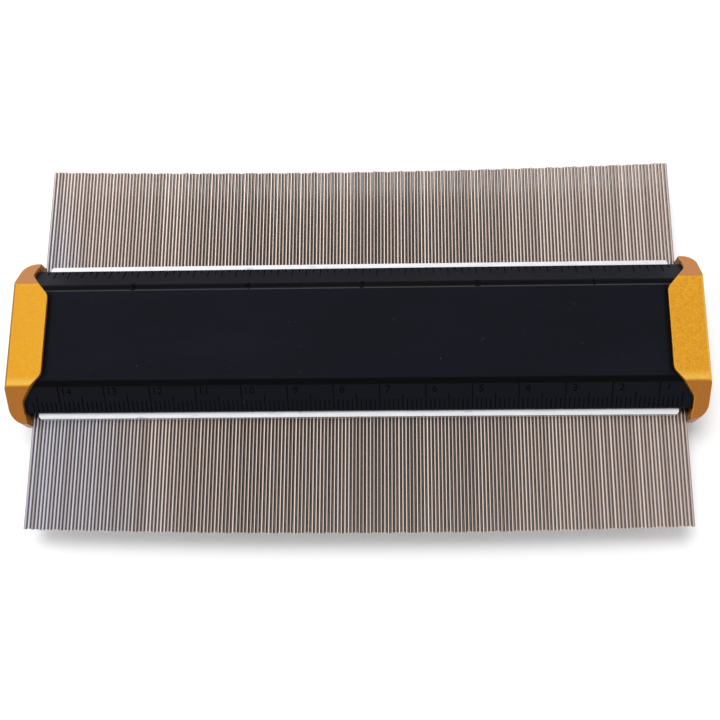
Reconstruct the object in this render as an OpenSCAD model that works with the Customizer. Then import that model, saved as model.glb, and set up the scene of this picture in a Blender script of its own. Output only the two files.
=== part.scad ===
// Contour gauge: a row of thin steel pins slides between two ribbed covers, and a cap closes each end.
// X runs along the row, Y along the pins and Z up. The gauge lies on its caps, with the origin below
// its middle. Sections and seats are drawn about the pins' own plane and lifted to their height.

/* [Pins] */
// Diameter of a pin
pin_d = 0.72; // [0.5:0.02:1.2]
// Free space between two neighbouring pins
pin_gap = 0.06; // [0.05:0.01:0.2]
// Length of a pin
pin_len = 84.2; // [60:0.2:120]
// Length of the bevel on a pin's tips
pin_bevel = 0.12; // [0.04:0.02:0.2]
// Pins that slide as one group
pins_per_group = 5; // [1:1:8]
// Groups in the row
pin_groups = 37; // [9:1:45]
// How far the pins in the middle of the row lie nearer than those at its ends
pin_bow = 1.1; // [0:0.1:3]
// Largest stray of one pin from that bow
pin_stray = 0.14; // [0:0.02:0.5]
// Free space between a pin and what it slides on
run_gap = 0.06; // [0.05:0.01:0.1]

/* [Bars] */
// Width of a bar, across the row
bar_w = 4.1; // [3:0.1:5.5]
// Thickness of a bar
bar_t = 2.1; // [1.4:0.1:3]
// Width of the strip of a bar that shows beside the cover
bar_lip = 1.25; // [0.6:0.05:1.8]
// Distance from a bar's end to the end of the row
bar_short = 2.1; // [1:0.1:4]
// Length of the mitre on a bar's outer corners
bar_mitre = 0.5; // [0.2:0.1:2]

/* [Covers] */
// Width of a cover over its two lower edges
cover_w = 32.9; // [31:0.1:36]
// Width of a cover's flat face, from ridge to ridge
cover_flat_w = 22.2; // [19:0.1:24]
// Height of a cover above the bars
cover_h = 5.5; // [4.5:0.1:6.5]
// Height of the upright edge below a cover's slopes
cover_edge_h = 0.6; // [0.2:0.1:1.2]
// Thickness of a cover's wall
cover_wall = 1.5; // [1:0.1:1.8]
// Radius along a cover's ridges
cover_ridge_r = 3; // [0.5:0.1:3.2]
// Distance that a cover runs past the row at each end
cover_past = 2.1; // [2:0.1:6]
// Width of the friction pad under a cover
pad_w = 14; // [8:0.5:15]
// Distance from a pad's end to the end of the row
pad_short = 0.5; // [0.2:0.1:3]
// Thickness of the two ribs that hold a pad
rib_t = 1.2; // [0.8:0.1:1.6]

/* [Scales] */
// Width of an engraved line
tick_w = 0.26; // [0.15:0.01:0.4]
// Depth of an engraved line
tick_depth = 0.2; // [0.1:0.02:0.4]
// Distance from an engraved line's foot to the cover's upright edge
tick_foot = 0.3; // [0.2:0.1:0.8]
// Length of a one millimetre line
tick_1mm = 2.5; // [1.5:0.1:3]
// Length of a five millimetre line
tick_5mm = 3.8; // [3.1:0.1:4.4]
// Length of a ten millimetre line
tick_10mm = 6.2; // [4.6:0.1:6.4]
// Length of a sixteenth of an inch line
tick_16th = 1.4; // [0.8:0.1:2.2]
// Length of an eighth of an inch line
tick_8th = 3; // [2.3:0.1:5]
// Distance from the last engraved line to the end of the row
tick_short = 1.2; // [0.5:0.1:6]
// Distance from the right end of the row to the zero of the centimetre scale
cm_past = 3.2; // [0:0.1:6]
// Distance from the right end of the row to the zero of the inch scale
inch_past = 5.6; // [0:0.1:8]

/* [Caps] */
// Thickness of a cap over a cover's flat face
cap_wall = 0.8; // [0.6:0.1:2]
// Thickness of a cap over a cover's slopes
cap_slope_t = 0.9; // [0.8:0.1:2]
// Thickness of a cap beside a cover's lower edges
cap_side_t = 2.2; // [1.6:0.1:3]
// Thickness of a cap's end wall
cap_end_t = 1.7; // [1.6:0.1:4]
// Radius along a cap's ridges
cap_ridge_r = 1.2; // [0.3:0.1:2]
// Radius round a cap's end face
cap_end_r = 0.8; // [0.3:0.1:1.5]
// Radius of a cap's outer corners, in plan
cap_corner_r = 2.8; // [1.5:0.1:3]
// Reach of a cap's tongue over the cover, from its end face
cap_tongue = 7.9; // [7:0.1:12]
// Width of the tongue's tip
cap_tongue_w = 18.2; // [14:0.2:20]
// Width of the tongue's root
cap_root_w = 29; // [26:0.2:31]
// Radius of the two corners of the tip, in plan
cap_tip_r = 2.4; // [0.4:0.1:3]
// Radius of the two inner corners of the root, in plan
cap_root_r = 2; // [0.4:0.1:3]
// Width of the hook along a cap's side, in plan
cap_hook_w = 1.5; // [1:0.1:1.9]
// How far the hook runs past the tongue's root
cap_hook = 0.2; // [0.1:0.1:1.2]

/* [Fastening] */
// Free space round what is seated in a cap or a cover
seat_gap = 0.05; // [0.02:0.01:0.1]
// Free space between the last pin and the spacer or the cap beside it
end_gap = 0.3; // [0.1:0.05:0.4]
// Diameter of a cap screw's shank
screw_d = 2; // [1.6:0.1:2.4]
// Depth of a cap screw's shank in the spacer
screw_grip = 1.4; // [1:0.1:1.5]
// Diameter of a cap screw's head
screw_head_d = 3.8; // [3:0.1:5]
// Height of a cap screw's head
screw_head_h = 1; // [0.6:0.1:1.2]
// Width of the cross in a cap screw's head
screw_cross_w = 0.5; // [0.3:0.05:0.8]
// Depth of that cross
screw_cross_depth = 0.5; // [0.2:0.1:0.55]
// Distance between a cap's two screws
screw_spacing = 16; // [10:0.5:22]

/* [Hidden] */
$fn = 48;
eps = 0.01;
inch = 25.4;

// The row of pins
pin_r = pin_d / 2;
pin_pitch = pin_d + pin_gap;
pin_count = pins_per_group * pin_groups;
row_l = pin_count * pin_pitch - pin_gap;
row_end = row_l / 2;
bore_z = pin_r + run_gap;
// Turns, in degrees a pin, whose product scatters the pins with no pattern that shows
stray_turn = 97;
stray_beat = 41;

// The covers, in heights above the pins' plane
rim_z = bore_z + bar_t;
cover_top_z = rim_z + cover_h;
cover_edge = cover_w / 2;
cover_ridge = cover_flat_w / 2;
cover_end = row_end + cover_past;
edge_z = rim_z + cover_edge_h;
slope_angle = atan2(cover_top_z - edge_z, cover_edge - cover_ridge);
ceiling_z = cover_top_z - cover_wall;

// The caps
cap_end = cover_end + seat_gap + cap_end_t;
cap_top_z = cover_top_z + seat_gap + cap_wall;
cap_side = cover_edge + seat_gap + cap_side_t;
inner_x = row_end + end_gap;

// Height of the pins' plane above the surface that the gauge lies on
axis_z = cap_top_z;

// Both scales count from the right, each from a zero past the row
cm_zero_x = row_end + cm_past;
inch_zero_x = row_end + inch_past;
tick_end = row_end - tick_short;

function pin_x(i) = (i - (pin_count - 1) / 2) * pin_pitch;
function bow_y(i) = pin_bow * (pow(pin_x(i) / row_end, 2) - 1 / 2);
function stray_y(i) = pin_stray * sin(stray_turn * i) * cos(stray_beat * i);
function group_name(g) = str("pins_", g < 10 ? "0" : "", g);

// Ridge of a surface that lies above the cover, by its height over the flat face and over the slopes
function ridge_y(flat_t, slope_t) = cover_ridge + (slope_t - flat_t * cos(slope_angle)) / sin(slope_angle);
// A corner of a plan at p, between a and b: the way to one of them, half the angle, where a rounding
// of radius r begins on the side towards a, and the rounding's middle
function way(p, a) = (a - p) / norm(a - p);
function half_corner(p, a, b) = acos(way(p, a) * way(p, b)) / 2;
function round_start(p, a, b, r) = p + way(p, a) * r / tan(half_corner(p, a, b));
function round_middle(p, a, b, r) = p + way(p, p + way(p, a) + way(p, b)) * r / sin(half_corner(p, a, b));
// Height, at y, of a surface that lies above the cover's slopes
function slope_z(y, slope_t) =
    cover_top_z + slope_t / cos(slope_angle) - (y - cover_ridge) * tan(slope_angle);

// Lifts what is drawn about the pins' plane to its height
module lifted() {
    translate([0, 0, axis_z]) children();
}

module underside() {
    mirror([0, 0, 1]) children();
}

module left_end() {
    mirror([1, 0, 0]) children();
}

module rear_side() {
    mirror([0, 1, 0]) children();
}

// Extrudes a section drawn in Y and Z along X
module along_x(length) {
    rotate([90, 0, 90]) linear_extrude(length, center = true) children();
}

// Extrudes a profile drawn in X and Z along Y
module along_y(length) {
    rotate([90, 0, 0]) linear_extrude(length, center = true) children();
}

// Upper half of a section with a flat top, a rounded ridge on each side and a slope below each ridge
module ridged_section(half_w, base_z, edge_z, ridge, top_z, ridge_r) {
    tangent = ridge_r * tan(slope_angle / 2);
    slope_dy = tangent * cos(slope_angle);
    slope_dz = tangent * sin(slope_angle);
    polygon([
        [half_w, base_z],
        [half_w, edge_z],
        [ridge + slope_dy, top_z - slope_dz],
        [ridge - tangent, top_z],
        [tangent - ridge, top_z],
        [-ridge - slope_dy, top_z - slope_dz],
        [-half_w, edge_z],
        [-half_w, base_z]
    ]);
    for (side = [-1, 1])
        translate([side * (ridge - tangent), top_z - ridge_r]) circle(ridge_r);
}

// Space inside a cover: its wall offset inwards, less the two ribs
module cover_hollow() {
    foot = cover_edge - cover_wall / sin(slope_angle);
    ridge = ridge_y(-cover_wall, -cover_wall);
    rib_y = pad_w / 2 + seat_gap;
    difference() {
        polygon([
            [-foot, rim_z - eps],
            [-foot, edge_z],
            [-ridge, ceiling_z],
            [ridge, ceiling_z],
            [foot, edge_z],
            [foot, rim_z - eps]
        ]);
        for (side = [-1, 1])
            translate([side * (rib_y + rib_t / 2) - rib_t / 2, rim_z]) square([rib_t, cover_h]);
    }
}

// A cover is a moulded channel with sloped sides above an upright edge
module cover_shell() {
    along_x(2 * cover_end) difference() {
        intersection() {
            ridged_section(cover_edge, rim_z, edge_z, cover_ridge, cover_top_z, cover_ridge_r);
            translate([-cover_edge, rim_z]) square([cover_w, cover_h]);
        }
        cover_hollow();
    }
}

// Places an engraved line at x on the front slope, from its foot upwards
module engraved_line(x, length) {
    translate([x - tick_w / 2, -cover_edge, edge_z])
        rotate([slope_angle, 0, 0])
            translate([0, tick_foot, -tick_depth])
                cube([tick_w, length, 2 * tick_depth]);
}

module centimetre_scale() {
    first = ceil(cm_zero_x - tick_end);
    last = floor(cm_zero_x + tick_end);
    for (mm = [first : last]) {
        length = mm % 10 == 0 ? tick_10mm : mm % 5 == 0 ? tick_5mm : tick_1mm;
        engraved_line(cm_zero_x - mm, length);
    }
}

module inch_scale() {
    sixteenth = inch / 16;
    first = ceil((inch_zero_x - tick_end) / sixteenth);
    last = floor((inch_zero_x + tick_end) / sixteenth);
    for (k = [first : last])
        engraved_line(inch_zero_x - k * sixteenth, k % 2 == 0 ? tick_8th : tick_16th);
}

module upper_cover() {
    color("#22242b") lifted() difference() {
        cover_shell();
        centimetre_scale();
        rear_side() inch_scale();
    }
}

module lower_cover() {
    color("#22242b") lifted() underside() cover_shell();
}

// A pad fills the channel between a cover's ribs and rubs on the pins
module friction_pad() {
    pad_h = ceiling_z - seat_gap - bore_z;
    pad_l = 2 * (row_end - pad_short);
    translate([-pad_l / 2, -pad_w / 2, bore_z]) cube([pad_l, pad_w, pad_h]);
}

module upper_friction_pad() {
    color("#3b3833") lifted() friction_pad();
}

module lower_friction_pad() {
    color("#3b3833") lifted() underside() friction_pad();
}

// Front upper bar: a flat strip under the cover's edge, with mitred outer corners
module bar() {
    half_l = row_end - bar_short;
    outer = cover_edge + bar_lip;
    translate([0, 0, bore_z]) linear_extrude(bar_t) polygon([
        [-half_l, bar_w - outer],
        [half_l, bar_w - outer],
        [half_l, bar_mitre - outer],
        [half_l - bar_mitre, -outer],
        [bar_mitre - half_l, -outer],
        [-half_l, bar_mitre - outer]
    ]);
}

module front_upper_bar() {
    color("#dfe1e3") lifted() bar();
}

module rear_upper_bar() {
    color("#dfe1e3") lifted() rear_side() bar();
}

module front_lower_bar() {
    color("#dfe1e3") lifted() underside() bar();
}

module rear_lower_bar() {
    color("#dfe1e3") lifted() rear_side() underside() bar();
}

// Section of a cap's outside, or of the seat inside it, above and below the pins' plane
module cap_section(flat_t, slope_t, half_w, ridge_r) {
    ridge = ridge_y(flat_t, slope_t);
    for (flip = [0, 1])
        mirror([0, flip])
            ridged_section(half_w, -eps, slope_z(half_w, slope_t), ridge, cover_top_z + flat_t, ridge_r);
}

// Plan of the right cap: rounded outer corners, a hook along each side and a tongue that narrows inwards
module cap_plan() {
    outer = [cap_end - cap_corner_r, cap_side - cap_corner_r];
    hook = [inner_x, cap_side - cap_hook_w];
    bend = hook + cap_hook * [1, -1];
    root = [bend.x, cap_root_w / 2];
    tip = [cap_end - cap_tongue, cap_tongue_w / 2];
    middle = [tip.x, 0];
    for (flip = [0, 1])
        mirror([0, flip]) difference() {
            union() {
                polygon([
                    [tip.x, -eps],
                    [cap_end, -eps],
                    [cap_end, outer.y],
                    [outer.x, cap_side],
                    [inner_x, cap_side],
                    hook,
                    bend,
                    round_start(root, bend, tip, cap_root_r),
                    round_start(root, tip, bend, cap_root_r),
                    round_start(tip, root, middle, cap_tip_r),
                    round_start(tip, middle, root, cap_tip_r)
                ]);
                translate(round_middle(tip, root, middle, cap_tip_r)) circle(cap_tip_r);
                translate(outer) intersection() {
                    circle(cap_corner_r);
                    square(cap_corner_r);
                }
            }
            translate(round_middle(root, tip, bend, cap_root_r)) circle(cap_root_r);
        }
}

// Side profile of the right cap, rounded along its end face
module cap_profile() {
    for (flip = [0, 1])
        mirror([0, flip]) {
            square([cap_end, cap_top_z - cap_end_r]);
            square([cap_end - cap_end_r, cap_top_z]);
            translate([cap_end - cap_end_r, cap_top_z - cap_end_r]) circle(cap_end_r);
        }
}

// Places what is drawn along Z on the axes of the right cap's two screws, pointing inwards from x
module at_screws(x) {
    for (side = [-1, 1])
        translate([x, side * screw_spacing / 2, 0]) rotate([0, -90, 0]) children();
}

// Right cap: the three outlines together, less the seat of the covers and the screw holes
module end_cap() {
    difference() {
        intersection() {
            along_x(2 * cap_end)
                cap_section(seat_gap + cap_wall, seat_gap + cap_slope_t, cap_side, cap_ridge_r);
            translate([0, 0, -cap_top_z]) linear_extrude(2 * cap_top_z) cap_plan();
            along_y(2 * cap_side) cap_profile();
        }
        along_x(2 * (cover_end + seat_gap))
            cap_section(seat_gap, seat_gap, cover_edge + seat_gap, cover_ridge_r);
        at_screws(cap_end + eps) cylinder(d = screw_d + 2 * seat_gap, h = cap_end_t + 1);
        at_screws(cap_end + eps) cylinder(d = screw_head_d + 2 * seat_gap, h = screw_head_h + eps);
    }
}

module right_end_cap() {
    color("#e0a42c") lifted() end_cap();
}

module left_end_cap() {
    color("#e0a42c") lifted() left_end() end_cap();
}

// Right spacer: closes the slot between the covers past the last pin and takes the cap's screws
module spacer() {
    spacer_h = 2 * (rim_z - seat_gap);
    difference() {
        translate([inner_x, -cover_edge, -spacer_h / 2]) cube([cover_end - inner_x, cover_w, spacer_h]);
        at_screws(cover_end + eps) cylinder(d = screw_d + 2 * seat_gap, h = screw_grip + 2 * seat_gap);
    }
}

module right_spacer() {
    color("#2a2a2c") lifted() spacer();
}

module left_spacer() {
    color("#2a2a2c") lifted() left_end() spacer();
}

// Right cap's screws: sunk heads with a cross, in the end wall
module cap_screws() {
    shank_l = cover_end - screw_grip;
    at_screws(cap_end) difference() {
        union() {
            cylinder(d = screw_head_d, h = screw_head_h);
            cylinder(d = screw_d, h = cap_end - shank_l);
        }
        for (turn = [0, 90])
            rotate(turn)
                translate([-screw_head_d / 3, -screw_cross_w / 2, -eps])
                    cube([screw_head_d * 2 / 3, screw_cross_w, screw_cross_depth + eps]);
    }
}

module right_cap_screws() {
    color("#8d9095") lifted() cap_screws();
}

module left_cap_screws() {
    color("#8d9095") lifted() left_end() cap_screws();
}

// One pin: a straight wire with bevelled tips, along Y
module pin() {
    half_l = pin_len / 2;
    rotate([90, 0, 0]) rotate_extrude() polygon([
        [0, -half_l],
        [pin_r - pin_bevel, -half_l],
        [pin_r, pin_bevel - half_l],
        [pin_r, half_l - pin_bevel],
        [pin_r - pin_bevel, half_l],
        [0, half_l]
    ]);
}

module pin_group(g) {
    first = (g - 1) * pins_per_group;
    color("#b9b0ad") lifted()
        for (i = [first : first + pins_per_group - 1])
            translate([pin_x(i), bow_y(i) + stray_y(i), 0]) pin();
}

upper_cover();
lower_cover();
upper_friction_pad();
lower_friction_pad();
front_upper_bar();
rear_upper_bar();
front_lower_bar();
rear_lower_bar();
left_end_cap();
right_end_cap();
left_spacer();
right_spacer();
left_cap_screws();
right_cap_screws();
for (g = [1 : pin_groups])
    pin_group(g);
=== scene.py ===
import math

import bmesh
import bpy
from mathutils import Matrix, Vector


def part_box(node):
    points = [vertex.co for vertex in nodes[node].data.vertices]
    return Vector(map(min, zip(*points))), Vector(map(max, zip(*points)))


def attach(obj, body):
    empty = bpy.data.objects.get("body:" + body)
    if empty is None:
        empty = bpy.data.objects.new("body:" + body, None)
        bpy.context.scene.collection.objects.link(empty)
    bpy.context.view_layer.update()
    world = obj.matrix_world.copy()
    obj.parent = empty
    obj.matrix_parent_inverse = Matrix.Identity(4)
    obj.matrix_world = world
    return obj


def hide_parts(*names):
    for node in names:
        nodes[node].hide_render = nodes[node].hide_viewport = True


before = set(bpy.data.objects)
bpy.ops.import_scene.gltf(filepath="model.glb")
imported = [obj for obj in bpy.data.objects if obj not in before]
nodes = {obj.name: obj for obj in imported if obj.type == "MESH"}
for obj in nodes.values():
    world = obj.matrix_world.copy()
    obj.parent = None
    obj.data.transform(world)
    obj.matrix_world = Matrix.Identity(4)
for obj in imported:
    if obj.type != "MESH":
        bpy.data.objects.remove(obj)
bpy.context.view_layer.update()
mm = 0.001


# Pins: 185 straight lengths of drawn steel wire with bevelled tips, which slide in groups of five.
# Drawing leaves fine lines along each wire, and the wires differ a little in grey. Their flanks carry
# painted shade, darkest in the row's middle, and they are cooler at its left end, with a painted highlight
# in its middle.


class Signal:
    """A socket in a material's nodes, with arithmetic that adds Math nodes."""

    def __init__(self, tree, socket=None):
        self.tree = tree
        self.socket = socket

    def node(self, kind, settings=None, sockets=None, output=0):
        """Adds a node: its settings come first, then the values or links of its sockets."""
        made = self.tree.nodes.new(kind)
        for name, value in (settings or {}).items():
            setattr(made, name, value)
        for name, value in (sockets or {}).items():
            if isinstance(value, Signal):
                self.tree.links.new(value.socket, made.inputs[name])
            else:
                made.inputs[name].default_value = value
        return Signal(self.tree, made.outputs[output] if made.outputs else None)

    def math(self, operation, *values):
        """Adds a Math node on values or links."""
        return self.node("ShaderNodeMath", {"operation": operation}, dict(enumerate(values)))

    def __add__(self, other):
        return self.math("ADD", self, other)

    def __sub__(self, other):
        return self.math("SUBTRACT", self, other)

    def __rsub__(self, other):
        return self.math("SUBTRACT", other, self)

    def __mul__(self, other):
        return self.math("MULTIPLY", self, other)

    def __abs__(self):
        return self.math("ABSOLUTE", self)

    __radd__ = __add__
    __rmul__ = __mul__


def new_finish(name):
    """A new material, and the start of its nodes."""
    material = bpy.data.materials.new(name)
    material.use_nodes = True
    material.node_tree.nodes.clear()
    return material, Signal(material.node_tree)


def tone(red, green, blue):
    """A colour as a picture shows it, from 0 to 255, as the light values that a shader takes."""
    shares = (value / 255 for value in (red, green, blue))
    return tuple(s / 12.92 if s < 0.04045 else ((s + 0.055) / 1.055) ** 2.4 for s in shares) + (1.0,)


def part_of(vector, axis):
    """A vector's part along X, Y or Z."""
    return vector.node("ShaderNodeSeparateXYZ", {}, {"Vector": vector}, output=axis)


def mixed(mask, under, over):
    """One colour over another, where the mask is 1."""
    sockets = {"Factor": mask, 6: under, 7: over}
    return mask.node("ShaderNodeMix", {"data_type": "RGBA"}, sockets, output=2)


def ranged(value, low, high, to_low=0.0, to_high=1.0):
    """A value that runs smoothly from one range to another, and stops at its ends."""
    sockets = {"Value": value, 1: low, 2: high, 3: to_low, 4: to_high}
    return value.node("ShaderNodeMapRange", {"interpolation_type": "SMOOTHSTEP"}, sockets)


def faded(value, low, high):
    """1 below a range and 0 above it, with a smooth run between."""
    return ranged(value, low, high, 1.0, 0.0)


def chance(number):
    """A random value for each whole number."""
    return number.node("ShaderNodeTexWhiteNoise", {"noise_dimensions": "1D"}, {"W": number})


def stretched_noise(place, scale, detail=3.0):
    """Noise whose grain has its own size along each axis, given as grains in a metre."""
    stretched = place.node("ShaderNodeVectorMath", {"operation": "MULTIPLY"}, {0: place, 1: scale})
    sockets = {"Vector": stretched, "Scale": 1.0, "Detail": detail, "Roughness": 0.55}
    return stretched.node("ShaderNodeTexNoise", {}, sockets)


def bumped(height, strength, depth):
    """A surface's normal, tilted as if the surface had this height."""
    return height.node("ShaderNodeBump", {}, {"Strength": strength, "Distance": depth, "Height": height})


def surface(start, sockets):
    """Closes a material with its shader."""
    shader = start.node("ShaderNodeBsdfPrincipled", {}, sockets)
    start.node("ShaderNodeOutputMaterial", {}, {"Surface": shader})


def dressed(names, material):
    """Gives a finish to solids that stay as they are."""
    for name in names:
        nodes[name].data.materials.clear()
        nodes[name].data.materials.append(material)


pins_per_group = 5
group_low, group_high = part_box("pins_01")
pin_d = group_high.z - group_low.z
pin_pitch = (group_high.x - group_low.x - pin_d) / (pins_per_group - 1)
row_half = -group_low.x

warm_wire = tone(238, 219, 210)
cool_wire = tone(222, 221, 234)
dull_wire = tone(168, 148, 138)
# Painted highlight: a brighter wire tone for the middle of the row.
middle_highlight_wire = tone(255, 232, 218)
# Painted shade: a near-black tone laid on the wires' flanks, where shade falls between the pins.
flank_shade_tone = tone(22, 16, 14)
wire_grain = (9000, 90, 9000)
wire_line_depth = 0.02 * mm
cool_lean = 0.4
cool_span = (-0.9 * row_half, -0.7 * row_half)
middle_span = (0.2 * row_half, row_half)
middle_highlight_share = 0.9
dull_share = 0.55
lined_share = 0.25
bright_share = 0.05
flank_shade_tilts = (0.12, 0.6)
flank_shade_by_middle = 0.05
flank_shade_by_pin = 0.08
faintest_flank_shade = 0.6
smoothest_wire = 0.2

wire_steel, wire = new_finish("drawn_wire_steel")
wire_place = wire.node("ShaderNodeTexCoord", output="Object")
wire_x, wire_y = (part_of(wire_place, axis) for axis in "XY")
pin_number = wire.math("FLOOR", wire_x * (1 / pin_pitch) + 0.5)
pin_chance = chance(pin_number)
pin_dullness = chance(pin_number + 0.5)
wire_lines = stretched_noise(wire_place, wire_grain)
coolness = faded(wire_x + wire_y * cool_lean, *cool_span)
middle = faded(abs(wire_x), *middle_span)
dullness = pin_dullness * dull_share + wire_lines * lined_share - bright_share
wire_colour = mixed(coolness, warm_wire, cool_wire)
# Painted highlight: the wires in the row's middle are lightened.
wire_colour = mixed(middle * middle_highlight_share, wire_colour, middle_highlight_wire)
wire_colour = mixed(dullness, wire_colour, dull_wire)
wire_tilt = abs(part_of(wire.node("ShaderNodeTexCoord", output="Normal"), "X"))
# Painted shade on the flanks, growing with the wire's sideways tilt and strongest in the row's middle.
flank_shade_tilt = wire_tilt + middle * flank_shade_by_middle + (pin_chance - 0.5) * flank_shade_by_pin
flank_shade = ranged(flank_shade_tilt, *flank_shade_tilts) * (middle * (1 - faintest_flank_shade) + faintest_flank_shade)
surface(wire, {
    "Base Color": mixed(flank_shade, wire_colour, flank_shade_tone),
    "Metallic": 1.0,
    "Roughness": pin_chance * 0.16 + wire_lines * 0.1 + smoothest_wire,
    "Normal": bumped(wire_lines, 0.12, wire_line_depth),
})
dressed([name for name in nodes if name.startswith("pins_")], wire_steel)


# Friction pads: strips of dark rubber in the covers' channels, which rub on the pins and hold them.
# They are cut from sheet, so their faces carry its fine dimpled grain.
dark_rubber = tone(42, 40, 38)
pale_rubber = tone(66, 62, 58)
sheet_grain = (2500, 2500, 2500)
sheet_mottle = (120, 120, 120)
sheet_dimple = 0.05 * mm
smoothest_rubber = 0.65
rubber, rubber_start = new_finish("sheet_rubber")
rubber_place = rubber_start.node("ShaderNodeTexCoord", output="Object")
rubber_grain = stretched_noise(rubber_place, sheet_grain)
rubber_mottle = stretched_noise(rubber_place, sheet_mottle)
surface(rubber_start, {
    "Base Color": mixed(rubber_mottle, dark_rubber, pale_rubber),
    "Roughness": rubber_grain * 0.2 + smoothest_rubber,
    "Normal": bumped(rubber_grain, 0.3, sheet_dimple),
})
dressed(["upper_friction_pad", "lower_friction_pad"], rubber)


# Bars: four flat aluminium strips that guide the pins along the covers' edges.
# They are cut from rolled strip, so they are bright, with rolling lines along them and a few scratches,
# and their edges have been broken.
weld = 0.001 * mm


def meshed(name, shape):
    """A mesh from a shape that is done with."""
    data = bpy.data.meshes.new(name)
    shape.to_mesh(data)
    shape.free()
    return data


def placed(name, data):
    """A new object in the scene."""
    thing = bpy.data.objects.new(name, data)
    bpy.context.scene.collection.objects.link(thing)
    return thing


def eased(node, ease, material):
    """A copy of a node with its sharp edges rounded, which stands for it."""
    flat = math.radians(0.5)
    sharp = math.radians(30)
    shape = bmesh.new()
    shape.from_mesh(nodes[node].data)
    bmesh.ops.remove_doubles(shape, verts=shape.verts, dist=weld)
    bmesh.ops.dissolve_limit(shape, angle_limit=flat, verts=shape.verts, edges=shape.edges)
    corners = [edge for edge in shape.edges if edge.is_manifold and edge.calc_face_angle() > sharp]
    bmesh.ops.bevel(
        shape, geom=corners, offset=ease, segments=3, profile=0.5, affect="EDGES", clamp_overlap=True
    )
    data = meshed("eased_" + node, shape)
    data.shade_smooth()
    data.set_sharp_from_angle(angle=sharp)
    data.materials.append(material)
    piece = placed("eased_" + node, data)
    piece.modifiers.new("even_shading", "WEIGHTED_NORMAL").keep_sharp = True
    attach(piece, "housing")
    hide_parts(node)


bar_ease = 0.12 * mm
bright_strip = tone(240, 241, 244)
handled_strip = tone(212, 213, 217)
scratched_strip = tone(120, 118, 122)
rolling_grain = (60, 5000, 5000)
handling_grain = (160, 700, 700)
scratch_grain = (220, 1500, 1500)
rolling_depth = 0.03 * mm
scratch_levels = (0.66, 0.7)
scratch_share = 0.35
smoothest_strip = 0.34
strip, strip_start = new_finish("rolled_aluminium")
strip_place = strip_start.node("ShaderNodeTexCoord", output="Object")
rolling_lines = stretched_noise(strip_place, rolling_grain)
handling = stretched_noise(strip_place, handling_grain, detail=5.0)
scratches = ranged(stretched_noise(strip_place, scratch_grain, detail=2.0), *scratch_levels)
strip_colour = mixed(handling, bright_strip, handled_strip)
surface(strip_start, {
    "Base Color": mixed(scratches * scratch_share, strip_colour, scratched_strip),
    "Metallic": 1.0,
    "Roughness": rolling_lines * 0.15 + scratches * 0.1 + smoothest_strip,
    "Normal": bumped(rolling_lines, 0.15, rolling_depth),
})
for bar in ("front_upper_bar", "rear_upper_bar", "front_lower_bar", "rear_lower_bar"):
    eased(bar, bar_ease, strip)


# Covers: two moulded shells of black plastic with a satin face, screwed up between the end caps.
# The upper one's engraved scales, centimetres in front and inches behind, count from the right. Their lines
# are in the solid, and the numerals are cut here. Painted shade darkens the lines, the numerals and the
# ridges' rounding, a painted shadow lies by the caps' tongues, and a painted highlight runs along the rear
# ridges.
cover_low, cover_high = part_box("upper_cover")
edge_above_bar = 0.6 * mm
edge_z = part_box("front_upper_bar")[1].z + edge_above_bar
flat_half = 11.1 * mm
ridge_r = 3 * mm
slope_angle = math.atan2(cover_high.z - edge_z, cover_high.y - flat_half)
arc_middle = Vector((0, flat_half - ridge_r * math.tan(slope_angle / 2), cover_high.z - ridge_r))


def numeral(text, height, depth):
    """A numeral as a closed solid through the plane z = 0, its foot's middle at the origin."""
    letters = bpy.data.curves.new("numeral", "FONT")
    letters.body = text
    letters.extrude = depth
    letters.resolution_u = 4
    holder = placed("numeral", letters)
    solid = bpy.data.meshes.new_from_object(holder.evaluated_get(bpy.context.evaluated_depsgraph_get()))
    bpy.data.objects.remove(holder)
    corners = [vertex.co for vertex in solid.vertices]
    left, right = (end(corner.x for corner in corners) for end in (min, max))
    foot, top = (end(corner.y for corner in corners) for end in (min, max))
    scale = height / (top - foot)
    centred = Matrix.Translation((-(left + right) / 2, -foot, 0))
    solid.transform(Matrix.Diagonal((scale, scale, 1, 1)) @ centred)
    return solid


cutter = bmesh.new()
centimetre = 10 * mm
last_centimetre = 14
cm_zero_x = row_half + 3.2 * mm
cm_numeral_h = 1.75 * mm
cm_numeral_depth = 0.22 * mm
cm_numeral_foot = 4.4 * mm
cm_numeral_side = 1.9 * mm
slope_face = Matrix.Translation((0, cover_low.y, edge_z)) @ Matrix.Rotation(slope_angle, 4, "X")
for count in range(1, last_centimetre + 1):
    solid = numeral(str(count), cm_numeral_h, cm_numeral_depth)
    numeral_x = cm_zero_x - count * centimetre + cm_numeral_side
    solid.transform(slope_face @ Matrix.Translation((numeral_x, cm_numeral_foot, 0)))
    cutter.from_mesh(solid)
inch = 25.4 * mm
last_inch = 5
inch_zero_x = row_half + 5.6 * mm
inch_numeral_h = 2.0 * mm
inch_numeral_depth = 0.3 * mm
for count in range(1, last_inch + 1):
    solid = numeral(str(count), inch_numeral_h, inch_numeral_depth)
    for vertex in solid.vertices:
        across, along, above = vertex.co
        turn = slope_angle / 2 + (along - inch_numeral_h / 2) / ridge_r
        spoke = Vector((0, math.sin(turn), math.cos(turn))) * (ridge_r + above)
        vertex.co = arc_middle + spoke + Vector((inch_zero_x - count * inch + across, 0, 0))
    cutter.from_mesh(solid)
bmesh.ops.remove_doubles(cutter, verts=cutter.verts, dist=2 * weld)
bmesh.ops.recalc_face_normals(cutter, faces=cutter.faces)
numerals = placed("numerals", meshed("numerals", cutter))

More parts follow.
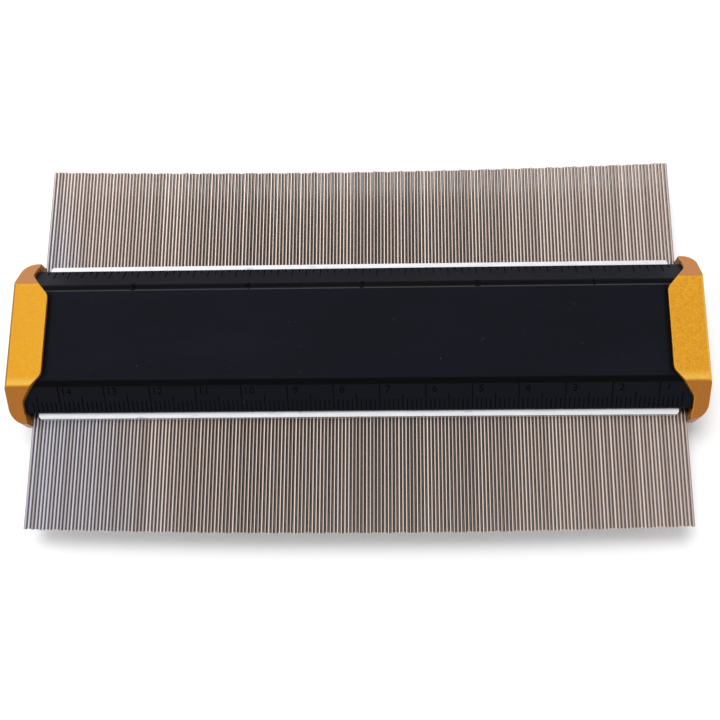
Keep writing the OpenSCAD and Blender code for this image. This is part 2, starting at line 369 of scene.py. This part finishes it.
blank = bmesh.new()
blank.from_mesh(nodes["upper_cover"].data)
bmesh.ops.remove_doubles(blank, verts=blank.verts, dist=weld)
scaled_cover = placed("scaled_cover", meshed("scaled_cover_blank", blank))
cut = scaled_cover.modifiers.new("numerals", "BOOLEAN")
cut.operation = "DIFFERENCE"
cut.solver = "EXACT"
cut.object = numerals
scaled_cover.data = bpy.data.meshes.new_from_object(
    scaled_cover.evaluated_get(bpy.context.evaluated_depsgraph_get())
)
scaled_cover.data.name = "scaled_cover"
scaled_cover.modifiers.clear()
bpy.data.objects.remove(numerals)


def spoke_at(place):
    """The way from the middle of the nearer ridge's arc to a place."""
    return Vector((0, place.y - math.copysign(arc_middle.y, place.y), place.z - arc_middle.z))


# The ridges' facets take the shading of the true arc, and all other faces stay flat.
arc_slack = 0.1 * mm
cover_corners = scaled_cover.data.vertices
shading = []
for face in scaled_cover.data.polygons:
    spoke = spoke_at(face.center)
    turn = math.atan2(math.copysign(spoke.y, face.center.y * spoke.y), spoke.z)
    if 0 < turn < slope_angle and abs(spoke.length - ridge_r) < arc_slack:
        shading += [spoke_at(cover_corners[corner].co).normalized() for corner in face.vertices]
    else:
        shading += [face.normal.copy() for corner in face.vertices]
scaled_cover.data.shade_smooth()
scaled_cover.data.normals_split_custom_set(shading)

black_plastic = tone(13, 13, 17)
blue_black_plastic = tone(21, 23, 33)
pale_dust = tone(120, 116, 112)
# Painted shade: near black for the engraved lines and numerals and the ridges' rounding.
groove_and_ridge_shade = tone(2, 2, 3)
# Painted highlight: a lighter grey along the top edge of the rear ridges.
ridge_highlight_plastic = tone(72, 72, 80)
# Painted shadow: near black on the cover beside the caps' tongues.
tongue_shadow_tone = tone(3, 2, 2)
satin_grain = (5000, 5000, 5000)
flow_grain = (30, 90, 90)
rubbed_grain = (60, 900, 900)
dust_grain = (1800, 1800, 1800)
satin_depth = 0.03 * mm
dust_levels = (0.79, 0.83)
dust_share = 0.3
ridge_highlight_share = 0.6
tongue_shadow_share = 0.85
tongue_shadow_w = 1.4 * mm
tongue_shadow_dark_w = 0.4 * mm
smoothest_plastic = 0.24
moulding, moulding_start = new_finish("satin_black_plastic")
moulding_place = moulding_start.node("ShaderNodeTexCoord", output="Object")
moulding_x, moulding_y, moulding_z = (part_of(moulding_place, axis) for axis in "XYZ")
satin = stretched_noise(moulding_place, satin_grain, detail=2.0)
flow = stretched_noise(moulding_place, flow_grain, detail=4.0)
rubbed = stretched_noise(moulding_place, rubbed_grain, detail=4.0)
dust = ranged(stretched_noise(moulding_place, dust_grain, detail=1.0), *dust_levels)
moulding_colour = mixed(flow, black_plastic, blue_black_plastic)
moulding_colour = mixed(dust * dust_share, moulding_colour, pale_dust)

rearward = part_of(moulding_start.node("ShaderNodeTexCoord", output="Normal"), "Y")
tilt = abs(rearward)
slope_tilt = math.sin(slope_angle)
below_slope = (cover_high.y - abs(moulding_y)) * math.sin(slope_angle)
below_slope = below_slope + (edge_z - moulding_z) * math.cos(slope_angle)
# Painted shade: the engraved lines and numerals, found by depth below the slope, and the ridges' rounding
# turn near black.
groove_shade = ranged(below_slope, 0.05 * mm, 0.12 * mm) * faded(below_slope, 0.4 * mm, 0.6 * mm)
groove_shade = groove_shade * moulding_start.math("GREATER_THAN", tilt, slope_tilt - 0.05)
ridge_shade = ranged(tilt, 0.08, 0.2) * faded(tilt, slope_tilt - 0.15, slope_tilt - 0.04)
moulding_colour = mixed(moulding_start.math("MAXIMUM", groove_shade, ridge_shade), moulding_colour, groove_and_ridge_shade)
# Painted highlight along the rear ridges, where the top face starts to turn rearward.
ridge_highlight = ranged(rearward, 0.005, 0.04) * faded(rearward, 0.07, 0.14)
moulding_colour = mixed(ridge_highlight * ridge_highlight_share, moulding_colour, ridge_highlight_plastic)
# Painted shadow: a dark band on the cover's top, just inside each cap tongue's edge.
cap_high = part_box("left_end_cap")[1]
tongue_x = -cap_high.x
tongue_shadow = ranged(abs(moulding_x), tongue_x - tongue_shadow_w, tongue_x - tongue_shadow_dark_w)
tongue_shadow = tongue_shadow * faded(abs(moulding_y), 0.75 * flat_half, flat_half)
moulding_colour = mixed(tongue_shadow * tongue_shadow_share, moulding_colour, tongue_shadow_tone)
surface(moulding_start, {
    "Base Color": moulding_colour,
    "Roughness": flow * 0.12 + rubbed * 0.12 + smoothest_plastic,
    "Specular IOR Level": 0.05,
    "Normal": bumped(satin, 0.1, satin_depth),
})
scaled_cover.data.materials.clear()
scaled_cover.data.materials.append(moulding)
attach(scaled_cover, "housing")
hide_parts("upper_cover")
dressed(["lower_cover"], moulding)


# Spacers: moulded blocks of black plastic that close the slot between the covers past the last pin.
# The caps' screws are driven into them.
dark_block = tone(22, 22, 24)
pale_block = tone(34, 33, 35)
moulded_grain = (4000, 4000, 4000)
moulded_depth = 0.04 * mm
smoothest_block = 0.45
block, block_start = new_finish("black_block_plastic")
block_place = block_start.node("ShaderNodeTexCoord", output="Object")
block_grain = stretched_noise(block_place, moulded_grain)
surface(block_start, {
    "Base Color": mixed(block_grain, dark_block, pale_block),
    "Roughness": block_grain * 0.2 + smoothest_block,
    "Normal": bumped(block_grain, 0.15, moulded_depth),
})
dressed(["left_spacer", "right_spacer"], block)


# End caps: zinc castings in gold paint with metal flakes, pushed over the covers' ends and screwed on.
# The cast edges are soft. Painted shade darkens the slopes and sides, and a painted highlight lightens the
# front ridge. On the right cap the paint is rougher and shows more flakes. Painted shade darkens the left
# cap's end edges, and a painted highlight lightens the right cap's.
cap_ease = 0.35 * mm
deep_gold = tone(214, 150, 3)
pale_gold = tone(219, 159, 8)
flake_gold = tone(176, 100, 6)
# Painted shade: a darker gold for the slopes and sides.
slope_shade_gold = tone(166, 94, 4)
# Painted highlight: a pale gold along the front ridge.
front_ridge_highlight_gold = tone(240, 200, 96)
# Painted shade for the left cap's end edges, and a painted highlight for the right cap's.
left_end_edge_shade = tone(118, 70, 6)
right_end_edge_highlight = tone(238, 186, 70)
flakes_in_metre = 3600.0
peel_grain = (1500, 1500, 1500)
cloud_grain = (90, 90, 90)
paint_relief = 0.03 * mm
left_coarseness = 0.35
flake_share = 0.55
slope_shade_share = 0.85
slope_shade_facings = (0.75, 0.93)
end_edge_share = 0.7
front_ridge_highlight_share = 0.45
front_ridge_highlight_w = 2.2 * mm
smoothest_paint = 0.28
cap_flat_half = flat_half + (cap_high.z - cover_high.z) * math.tan(slope_angle / 2)
gold, gold_start = new_finish("gold_flake_paint")
gold_place = gold_start.node("ShaderNodeTexCoord", output="Object")
gold_x, gold_y = (part_of(gold_place, axis) for axis in "XY")
coarseness = ranged(gold_x, -row_half, row_half, left_coarseness, 1.0)
flake_sockets = {"Vector": gold_place, "Scale": flakes_in_metre}
flakes = gold_start.node("ShaderNodeTexVoronoi", {"feature": "F1"}, flake_sockets, output="Color")
flake = gold_start.node("ShaderNodeSeparateColor", {}, {"Color": flakes})
orange_peel = stretched_noise(gold_place, peel_grain)
cloud = stretched_noise(gold_place, cloud_grain)
gold_colour = mixed(cloud, deep_gold, pale_gold)
gold_colour = mixed(flake * coarseness * flake_share, gold_colour, flake_gold)
gold_normal = gold_start.node("ShaderNodeTexCoord", output="Normal")
sideways, facing = (abs(part_of(gold_normal, axis)) for axis in "XZ")
# Painted shade on faces that turn away from straight up.
slope_shade = faded(facing, *slope_shade_facings) * slope_shade_share
gold_colour = mixed(slope_shade, gold_colour, slope_shade_gold)
# Painted shade and highlight on the end edges: darker on the left cap, lighter on the right.
end_edge = ranged(sideways, 0.15, 0.45) * ranged(facing, 0.1, 0.4)
end_edge_shade_and_highlight = mixed(ranged(gold_x, -row_half, row_half), left_end_edge_shade, right_end_edge_highlight)
gold_colour = mixed(end_edge * end_edge_share, gold_colour, end_edge_shade_and_highlight)
# Painted highlight on the flat top just behind the front ridge.
front_ridge_highlight = faded(gold_y, -cap_flat_half, front_ridge_highlight_w - cap_flat_half) * ranged(facing, 0.93, 0.98)
front_ridge_highlight = front_ridge_highlight * (1.0 - end_edge)
surface(gold_start, {
    "Base Color": mixed(front_ridge_highlight * front_ridge_highlight_share, gold_colour, front_ridge_highlight_gold),
    "Metallic": 0.15,
    "Specular IOR Level": 0.35,
    "Coat Weight": 0.2,
    "Coat Roughness": 0.3,
    "Roughness": flake * 0.15 + orange_peel * 0.15 + smoothest_paint,
    "Normal": bumped((flake * 0.5 + orange_peel) * coarseness, 0.25, paint_relief),
})
for cap in ("left_end_cap", "right_end_cap"):
    eased(cap, cap_ease, gold)


# Cap screws: two cross-head steel screws through each cap's end wall, driven into the spacers.
# They are turned bright, and a little worn.
dull_steel = tone(168, 168, 172)
bright_steel = tone(196, 196, 198)
turned_grain = (3000, 3000, 3000)
turned_depth = 0.02 * mm
smoothest_screw = 0.25
screw_steel, screw_start = new_finish("turned_steel")
screw_place = screw_start.node("ShaderNodeTexCoord", output="Object")
turning = stretched_noise(screw_place, turned_grain)
surface(screw_start, {
    "Base Color": mixed(turning, dull_steel, bright_steel),
    "Metallic": 1.0,
    "Roughness": turning * 0.2 + smoothest_screw,
    "Normal": bumped(turning, 0.1, turned_depth),
})
dressed(["left_cap_screws", "right_cap_screws"], screw_steel)


# Floor and light: a plain white floor in a pale room, under a soft lamp and a strip lamp behind the gauge.
# The background shows as white to the camera and in reflections. The floor keeps the shadow near the gauge,
# and far from it, where the lamps fade, it turns to plain white.
floor_half = 3.0
floor_data = bpy.data.meshes.new("floor")
floor_corners = [(x * floor_half, y * floor_half, 0) for x, y in ((-1, -1), (1, -1), (1, 1), (-1, 1))]
floor_data.from_pydata(floor_corners, [], [(0, 1, 2, 3)])
floor = placed("floor", floor_data)


def seen(start):
    """1 for what the camera sees, also by way of a mirror or a glass."""
    rays = ("Is Camera Ray", "Is Glossy Ray", "Is Transmission Ray")
    camera, glossy, transmission = (start.node("ShaderNodeLightPath", output=ray) for ray in rays)
    return start.math("MINIMUM", camera + glossy + transmission, 1.0)


paper_tone = tone(240, 240, 241)
paper_glow_level = 0.15
shadow_reach = 0.2
white_from = 0.5
paper, paper_start = new_finish("white_paper")
paper_white = paper_start.node("ShaderNodeBsdfDiffuse", {}, {"Color": paper_tone})
paper_glow = paper_start.node("ShaderNodeEmission", {}, {"Strength": seen(paper_start) * paper_glow_level})
paper_near = paper_start.node("ShaderNodeAddShader", {}, {0: paper_white, 1: paper_glow})
paper_far = paper_start.node("ShaderNodeEmission", {}, {"Strength": seen(paper_start)})
paper_place = paper_start.node("ShaderNodeTexCoord", output="Object")
length = {"operation": "LENGTH"}
paper_reach = paper_start.node("ShaderNodeVectorMath", length, {0: paper_place}, output="Value")
paper_mix = {0: ranged(paper_reach, shadow_reach, white_from), 1: paper_near, 2: paper_far}
paper_all = paper_start.node("ShaderNodeMixShader", {}, paper_mix)
paper_start.node("ShaderNodeOutputMaterial", {}, {"Surface": paper_all})
floor_data.materials.append(paper)

room = bpy.data.worlds.new("pale_room")
room.use_nodes = True
room.node_tree.nodes.clear()
bpy.context.scene.world = room
room_start = Signal(room.node_tree)
white = (1, 1, 1, 1)
room_white = 1.0
room_light = 0.5
room_level = seen(room_start) * (room_white - room_light) + room_light
room_shade = room_start.node("ShaderNodeBackground", {}, {"Color": white, "Strength": room_level})
room_start.node("ShaderNodeOutputWorld", {}, {"Surface": room_shade})


def lamp(name, place, width, depth, power):
    """A rectangular lamp that faces the middle of the floor."""
    light = bpy.data.lights.new(name, "AREA")
    light.shape = "RECTANGLE"
    light.size = width
    light.size_y = depth
    light.energy = power
    holder = placed(name, light)
    holder.location = place
    holder.rotation_euler = (-holder.location).to_track_quat("-Z", "Y").to_euler()
    return holder


overhead_lamp = lamp("overhead_lamp", place=(-0.12, 0.26, 1.1), width=0.6, depth=0.45, power=8.4)
overhead_lamp.visible_glossy = False
lamp("strip_lamp", place=(-0.25, 0.75, 0.95), width=1.2, depth=0.3, power=2.2)


# Camera: nearly above the gauge, a little in front of it and to its right, and turned slightly about its own
# axis. It looks a little to one side of the picture's middle, and the shift makes up for that.
view_elevation = math.radians(74.7)
view_azimuth = math.radians(7.06)
view_roll = math.radians(-7.37)
pin_plane = Vector((0, 0, (group_low.z + group_high.z) / 2))
camera_place = pin_plane + Vector((12.8, -65.6, 225.9)) * mm
picture_size = 720
focal_pixels = 1047
sight_x = 380
back = Vector((
    math.sin(view_azimuth) * math.cos(view_elevation),
    -math.cos(view_azimuth) * math.cos(view_elevation),
    math.sin(view_elevation),
))
side = (-back).cross(Vector((0, 0, 1))).normalized()
upright = side.cross(-back)
right = side * math.cos(view_roll) + upright * math.sin(view_roll)
up = upright * math.cos(view_roll) - side * math.sin(view_roll)
camera_data = bpy.data.cameras.new("camera")
camera_data.sensor_width = 36
camera_data.lens = focal_pixels / picture_size * camera_data.sensor_width
camera_data.shift_x = (picture_size / 2 - sight_x) / picture_size
camera_data.clip_start = 0.01
camera = placed("camera", camera_data)
camera.matrix_world = Matrix.Translation(camera_place) @ Matrix((right, up, back)).transposed().to_4x4()
bpy.context.scene.camera = camera
bpy.context.scene.view_settings.view_transform = "Standard"
